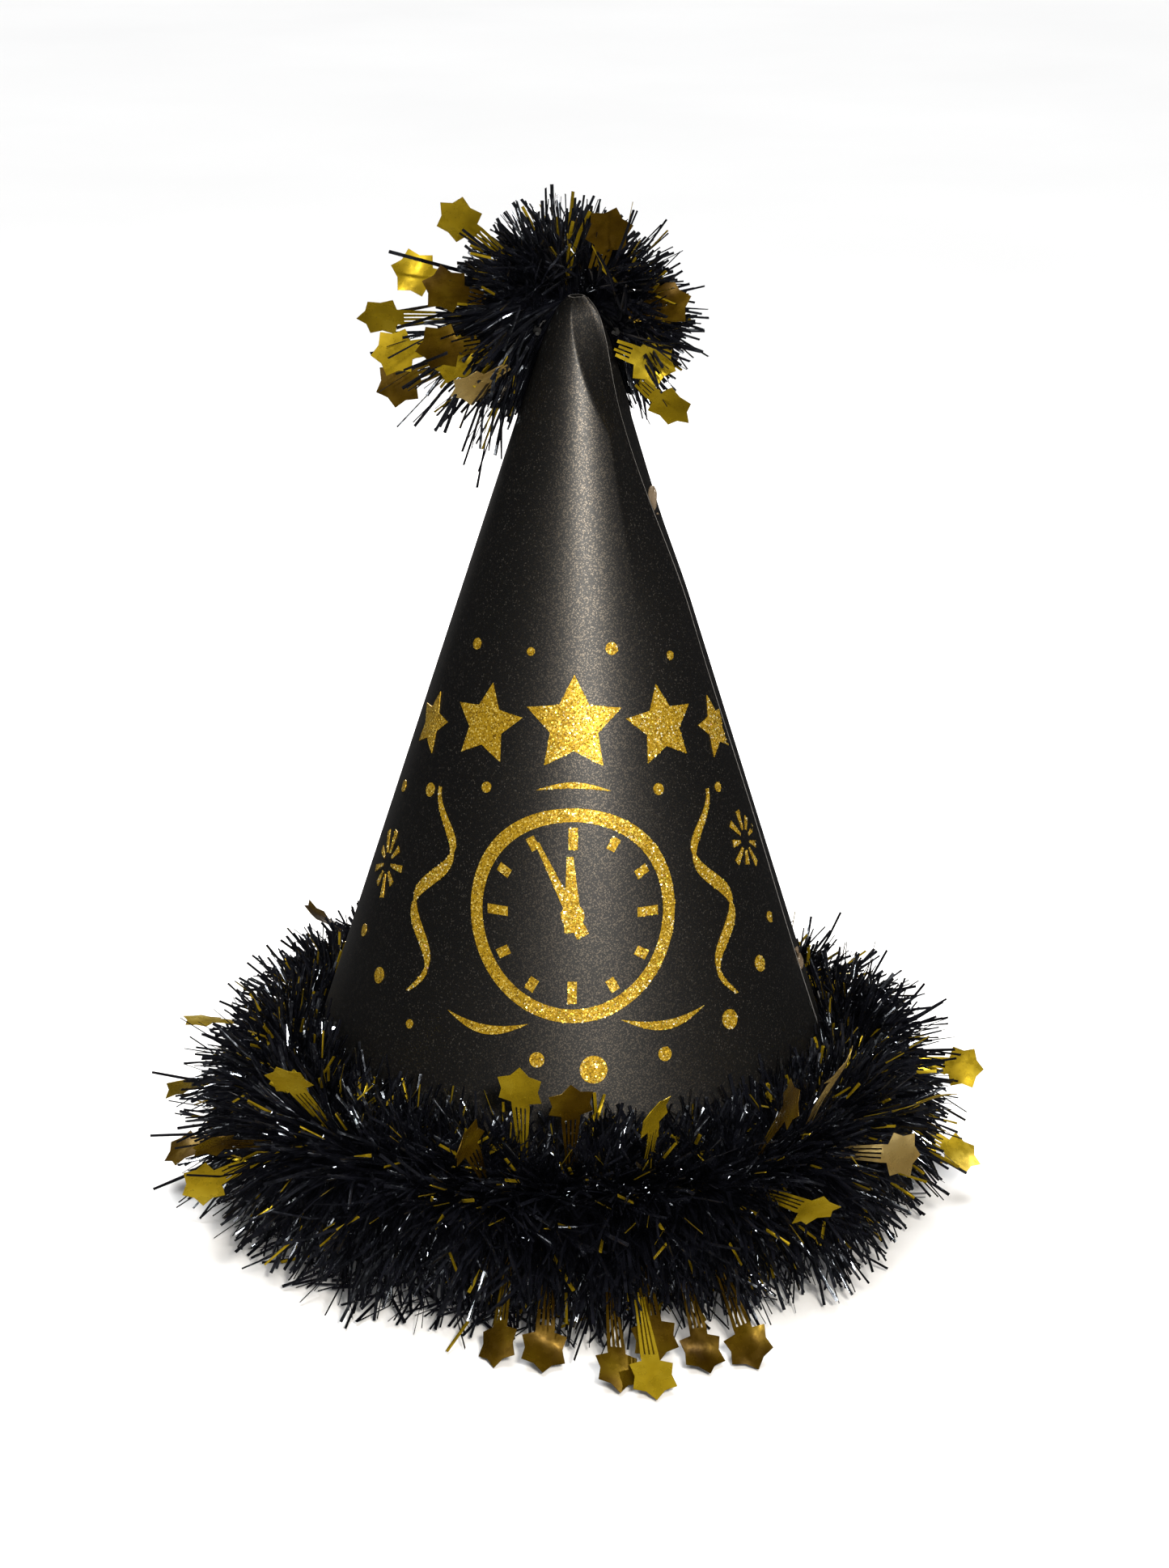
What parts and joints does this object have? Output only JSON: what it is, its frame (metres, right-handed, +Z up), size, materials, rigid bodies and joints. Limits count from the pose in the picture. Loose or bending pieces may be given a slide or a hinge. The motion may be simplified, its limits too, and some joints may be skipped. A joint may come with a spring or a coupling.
{
  "type": "new year party hat",
  "caption": "Cone party hat of rolled black card with a gold glitter print, a bushy black tinsel brim with gold film stars, and a matching tinsel pom at its tip.",
  "frame": {"origin": "middle of the surface the hat stands on, on the cone's axis", "axes": "+Z up along the cone's axis towards the tip, -Y towards the printed front, +X towards the side with the glued seam"},
  "size_m": [0.217, 0.2268, 0.255],
  "materials": {
    "black_card": "satin",
    "gold_glitter": "satin",
    "black_tinsel": "gloss",
    "gold_film": "polished",
    "twisted_thread": "matte",
    "clear_tape": "gloss",
    "clear_glue": "gloss"
  },
  "bodies": {
    "root": {"brim_glue_beads": "clear_glue", "brim_star_01": "gold_film", "brim_star_02": "gold_film", "brim_star_03": "gold_film", "brim_star_04": "gold_film", "brim_star_05": "gold_film", "brim_star_06": "gold_film", "brim_star_07": "gold_film", "brim_star_08": "gold_film", "brim_star_09": "gold_film", "brim_star_10": "gold_film", "brim_star_11": "gold_film", "brim_star_12": "gold_film", "brim_star_13": "gold_film", "brim_star_14": "gold_film", "brim_star_15": "gold_film", "brim_star_16": "gold_film", "brim_star_17": "gold_film", "brim_star_18": "gold_film", "brim_star_19": "gold_film", "brim_star_20": "gold_film", "brim_star_21": "gold_film", "brim_star_22": "gold_film", "brim_star_23": "gold_film", "brim_star_24": "gold_film", "brim_star_25": "gold_film", "brim_star_26": "gold_film", "brim_star_27": "gold_film", "brim_star_28": "gold_film", "brim_star_29": "gold_film", "cone_card": "black_card", "garland_core": "twisted_thread", "garland_pile": "black_tinsel", "glitter_bursts": "gold_glitter", "glitter_clock": "gold_glitter", "glitter_dots": "gold_glitter", "glitter_star_row": "gold_glitter", "glitter_streamer_left": "gold_glitter", "glitter_streamer_right": "gold_glitter", "glitter_swashes": "gold_glitter", "pom_core": "twisted_thread", "pom_pile": "black_tinsel", "pom_star_01": "gold_film", "pom_star_02": "gold_film", "pom_star_03": "gold_film", "pom_star_04": "gold_film", "pom_star_05": "gold_film", "pom_star_06": "gold_film", "pom_star_07": "gold_film", "pom_star_08": "gold_film", "pom_star_09": "gold_film", "pom_star_10": "gold_film", "pom_star_11": "gold_film", "pom_star_12": "gold_film", "pom_star_13": "gold_film", "pom_star_14": "gold_film", "pom_star_15": "gold_film", "seam_glue_drops": "clear_glue", "seam_tape": "clear_tape", "tip_glue_beads": "clear_glue"}
  },
  "joints": []
}
